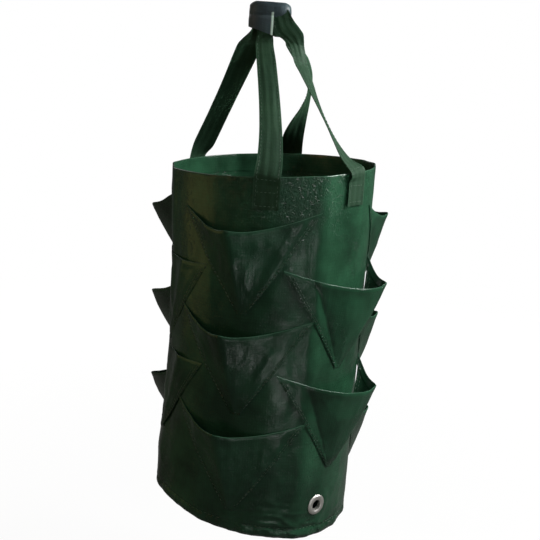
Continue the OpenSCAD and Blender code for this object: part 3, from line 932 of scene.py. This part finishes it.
def smooth_between(points, share):
    """A point on the smooth curve through the points, from 0 at the first to 1."""
    place = min(max(share, 0), 1) * (len(points) - 1)
    k = min(int(place), len(points) - 2)
    t = place - k
    b, c = points[k], points[k + 1]
    a, d = points[max(k - 1, 0)], points[min(k + 2, len(points) - 1)]
    return 0.5 * (2 * b + (c - a) * t + (2 * a - 5 * b + 4 * c - d) * t * t
                  + (3 * b - a - 3 * c + d) * t ** 3)


def strap_stations(run, tops):
    """The strap's two edges at its stations, up the lap, the leg and into the crown."""
    ups = (-1, -0.75, -0.5, -0.25, 0, 0.1, 0.2, 0.3, 0.4, 0.5, 0.6, 0.7, 0.8, 0.88)
    pairs = [leg_edges(run, up) for up in ups]
    slant = (pairs[-1][1].y - pairs[-1][0].y) / MM
    for k, (x1, x2, z1, z2, y) in enumerate(tops):
        half = 0.3 * 0.4 ** k * slant
        pairs.append((Vector((x1, y - half, z1)) * MM, Vector((x2, y + half, z2)) * MM))
    return [p[0] for p in pairs], [p[1] for p in pairs]


def strap_place(stations, facing, u, v, off, seed):
    """A point of a strap's outer face, across by u and up by v."""
    lefts, rights = stations
    left, right = smooth_between(lefts, v), smooth_between(rights, v)
    ahead = (smooth_between(lefts, v + 0.01) + smooth_between(rights, v + 0.01)
             - smooth_between(lefts, v - 0.01) - smooth_between(rights, v - 0.01))
    out = (right - left).cross(ahead).normalized() * facing
    side = 2 * u - 1
    free = min(1, max(0, (v - 0.2) / 0.08))
    ridge = 0.14 * MM * math.cos(u * RIDGES) + 0.2 * MM * free * noise.noise(
        Vector((u * 7, v * 5, seed)))
    crease = 0.4 * MM * free * crumple(u * 0.03, v * 0.2, seed + 3)
    gutter = 1.1 * MM * (0.5 - side * side) * math.sin(math.pi * min(1, max(0, v - 0.2) / 0.8))
    return left.lerp(right, u) + out * (off + ridge + crease + gutter)


# Each strap's name, its node and its run, and then how it gathers into the crown, as
# rows of its left and right edge's x, their heights and their common y, in mm.
STRAPS = (
    ("left_strap", "left_leg", Run(-126.6, 0.8, 23, 6, -37, -14, 0.5, 0.3),
     ((-37, -14, -9.3, -9.3, 2.6), (-33, -12.8, -4, -4, 2.6), (-25.5, -12, 4, 4, 3),
      (-22.5, -9, 12, 12, 3))),
    ("front_strap", "front_leg", Run(-3, 3.7, 14, 0, -19.5, -2, 0.38, 0.3),
     ((-19.5, -2.4, -9.3, -9.3, -6.5), (-19.2, -3, -4, -4, -4.6), (-19, -3.7, 1, 1, -3.3),
      (-19, -4, 8, 8, -3))),
    ("right_strap", "right_leg", Run(50, -6.3, 85, 30, 10, 26.5, 0.3, 0.39),
     ((13.5, 26.8, -9.3, -8, -6.2), (10.5, 26, -5.5, -2, -5.8), (5, 24.8, -0.5, 4, -6.4),
      (-1, 20.5, 3, 9.5, -8), (-4.5, 15.4, 9, 15, -9.6), (-4.5, 11.8, 16, 20, -9.4),
      (-4, 9, 23, 25, -8.4))),
    ("back_strap", "back_leg", Run(170, 17.6, 78, 30, 9, 24, 0.69, 0.62),
     ((11, 24, -9.3, -9.3, 2.6), (8.5, 22.6, -3.6, -4, 2.6), (5.5, 21, 0.5, 1, 3),
      (2.5, 16.5, 5, 9, 4), (0.5, 11.8, 9, 13.3, 5))))

for number, (name, node, run, tops) in enumerate(STRAPS):
    seed = 60.7 + 9 * number
    facing = front_sign(run)
    stations = strap_stations(run, tops)
    # Both folded edges of the strap are painted paler, a painted highlight.
    bm = cloth_grid(20, 170,
                    lambda u, v: strap_place(stations, facing, u if facing > 0 else 1 - u, v,
                                             STRAP_T / 2, seed),
                    lambda u, v: (STRAP_W * u, STRAP_L * v),
                    lambda u, v: 1 if min(u, 1 - u) < 0.02 else 0)
    thicken(bm, STRAP_T)
    places = []
    for u in (0.1, 0.9):
        ups = [k / 100 for k in range(2, 96)]
        points = [strap_place(stations, facing, u, v, STRAP_T / 2 + 0.1 * MM, seed)
                  for v in ups]
        outs = [strap_place(stations, facing, u, v, 1, seed)
                - strap_place(stations, facing, u, v, 0, seed) for v in ups]
        places += stitch_row(list(zip(points, outs)), gap=1 * MM, width=0.4 * MM)
    for v in (0.02, 0.12, 0.21):
        points = [strap_place(stations, facing, u / 10, v, STRAP_T / 2 + 0.15 * MM, seed)
                  for u in range(1, 10)]
        places += stitch_row([(p, outward(run.lap_az)) for p in points], length=2.6 * MM)
    sew(bm, places)
    piece = finish_piece(bm, name, (strap_cloth, thread))
    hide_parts(node)
    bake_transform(piece)
print("straps", len(STRAPS))

# %% [markdown]
# The crown is a strip of the same cloth, wound twice round the gathered ends of both
# handles and pulled tight, so it bulges and creases across. It is one unbroken strip: a
# grid whose length follows a spiral, and whose top edge is rounded in at its corners.
# Inside it, the gathered ends are a pleated plug.

# %% Crown
WRAP_X = -7.5 * MM
HALF_W = 20 * MM
HALF_D = 12.5 * MM
WRAP_TOP = 31 * MM
# Radius of the top edge's corners, and half the width of its level part between them.
WRAP_ROUND = 6 * MM
LEVEL = 14 * MM
STRIP_LIFT = 0.8
START_TURN = 268
TURNS = 2.02
GROW = 1.5 * MM


def squared(wave):
    """A sine or cosine swelled, so that a circle becomes a rounded rectangle."""
    return math.copysign(abs(wave) ** 0.75, wave)


def spiral(turn):
    """A point of the winding in plan. Each turn lies outside the last."""
    angle = math.radians(turn * 360 + START_TURN)
    less = (TURNS - turn) * GROW
    return (WRAP_X + squared(math.cos(angle)) * (HALF_W - less),
            squared(math.sin(angle)) * (HALF_D - less))


def crown_foot(x, y):
    """Height of the strip's lower edge, pulled up over the straps, most at the front right."""
    x = x / MM
    if x < -1.5:
        low = mix(STRIP_LIFT, 9.8, (-1.5 - x) / 31)
    else:
        low = STRIP_LIFT if x < 3.5 else STRIP_LIFT + (x - 3.5) * 1.667
    if y < 0 and x > -4.2:
        raised = 19 - 0.3 * (x + 4)
        low = mix(low, max(low, raised), min(1, -y / (4 * MM)))
    return low * MM


def crown_top(x):
    """Height of the strip's upper edge, rounded down at both sides."""
    away = max(0, abs(x - WRAP_X) - LEVEL)
    return WRAP_TOP - WRAP_ROUND + math.sqrt(max(0, WRAP_ROUND ** 2 - away ** 2))


def strip_place(u, v):
    """A point of the winding. Its last turn bulges, creases and is cinched at the waist."""
    turn = TURNS * u
    x, y = spiral(turn)
    outer = max(0, min(1, (turn - TURNS + 1.03) * 12))
    low, high = crown_foot(x, y if turn < TURNS - 0.25 else 1), crown_top(x)
    z = mix(low, high, v)
    out = Vector((x - WRAP_X, y * 1.6, 0)).normalized()
    bulge = 0.8 * MM * math.sin(math.pi * v) * outer
    waist = 0.9 * MM * math.exp(-((z - 19 * MM) / (2.2 * MM)) ** 2)
    bulge -= waist * outer * (1 if y < 0 else 0.3)
    fold = 0.9 * MM * crumple(z * 1.3, turn * 0.1, 91.5, 2.6) * outer
    pinch = 1.8 * MM * max(0, (z - 26 * MM) / (5 * MM)) ** 2
    return Vector((x, y, z)) + out * (bulge + fold * 0.6 - pinch)


bm = cloth_grid(320, 40, strip_place, lambda u, v: (0.22 * u, 0.03 * v),
                lambda u, v: 1 if u > 0.9965 and v < 0.7 else 0)
thicken(bm, 0.9 * MM)
wound_strip = finish_piece(bm, "wound_strip", (strip_cloth,), "crown")
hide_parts("wrap_strip")


def plug_place(u, v):
    """The gathered tops: a plug of pleats, closed at its top."""
    angle = 2 * math.pi * u
    c, s = math.cos(angle), math.sin(angle)
    pleat = 1 + 0.05 * math.cos(11 * angle + 1.5 * math.sin(3 * angle))
    share = min(1, (1 - v) / 0.25) if v > 0.75 else 1
    wide, deep = 14.2 * MM * share * pleat, 6.8 * MM * share * pleat
    x = WRAP_X + squared(c) * wide
    low, high = crown_foot(x, 1) - 0.6 * MM, crown_top(x) - 1.2 * MM
    z = mix(low, high, min(1, v / 0.75))
    z -= 0.8 * MM * abs(noise.noise(Vector((x * 300, s * 5, 3)))) if v > 0.7 else 0
    return Vector((x, squared(s) * deep, z))


bm = cloth_grid(110, 24, plug_place, lambda u, v: (0.08 * u, 0.04 * v), lambda u, v: 0)
bmesh.ops.remove_doubles(bm, verts=bm.verts[:], dist=1e-5)
holes = [e for e in bm.edges if e.is_boundary]
bmesh.ops.holes_fill(bm, edges=holes, sides=0)
bmesh.ops.recalc_face_normals(bm, faces=bm.faces[:])
gathered_tops = finish_piece(bm, "gathered_tops", (strap_cloth,), "crown")
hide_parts("handle_tops")
print("crown", len(wound_strip.data.polygons) + len(gathered_tops.data.polygons), "faces")
